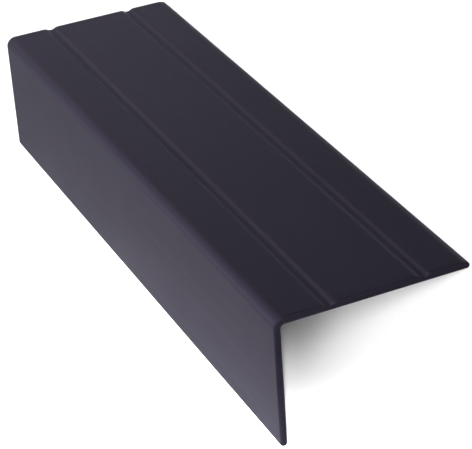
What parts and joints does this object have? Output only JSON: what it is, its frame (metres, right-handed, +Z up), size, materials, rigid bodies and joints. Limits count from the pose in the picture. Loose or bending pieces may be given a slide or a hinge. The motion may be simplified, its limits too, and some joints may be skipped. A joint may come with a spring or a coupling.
{
  "type": "stair nosing",
  "caption": "Black aluminium angle that caps the front edge of a step: a wide grooved tread leg, a rounded nose and a plain riser leg, cut square at both ends.",
  "frame": {"origin": "on the floor, at the middle of the piece as it lies unheld on its riser foot and its tread's back edge", "axes": "+X along the length, +Z up through the nose, with the riser leg on the -Y side and the tread leg on the +Y side"},
  "size_m": [0.18, 0.061, 0.0287],
  "materials": {
    "black_anodised_aluminium": "satin black anodised"
  },
  "bodies": {
    "root": {"stair_nose": "black_anodised_aluminium"}
  },
  "joints": []
}
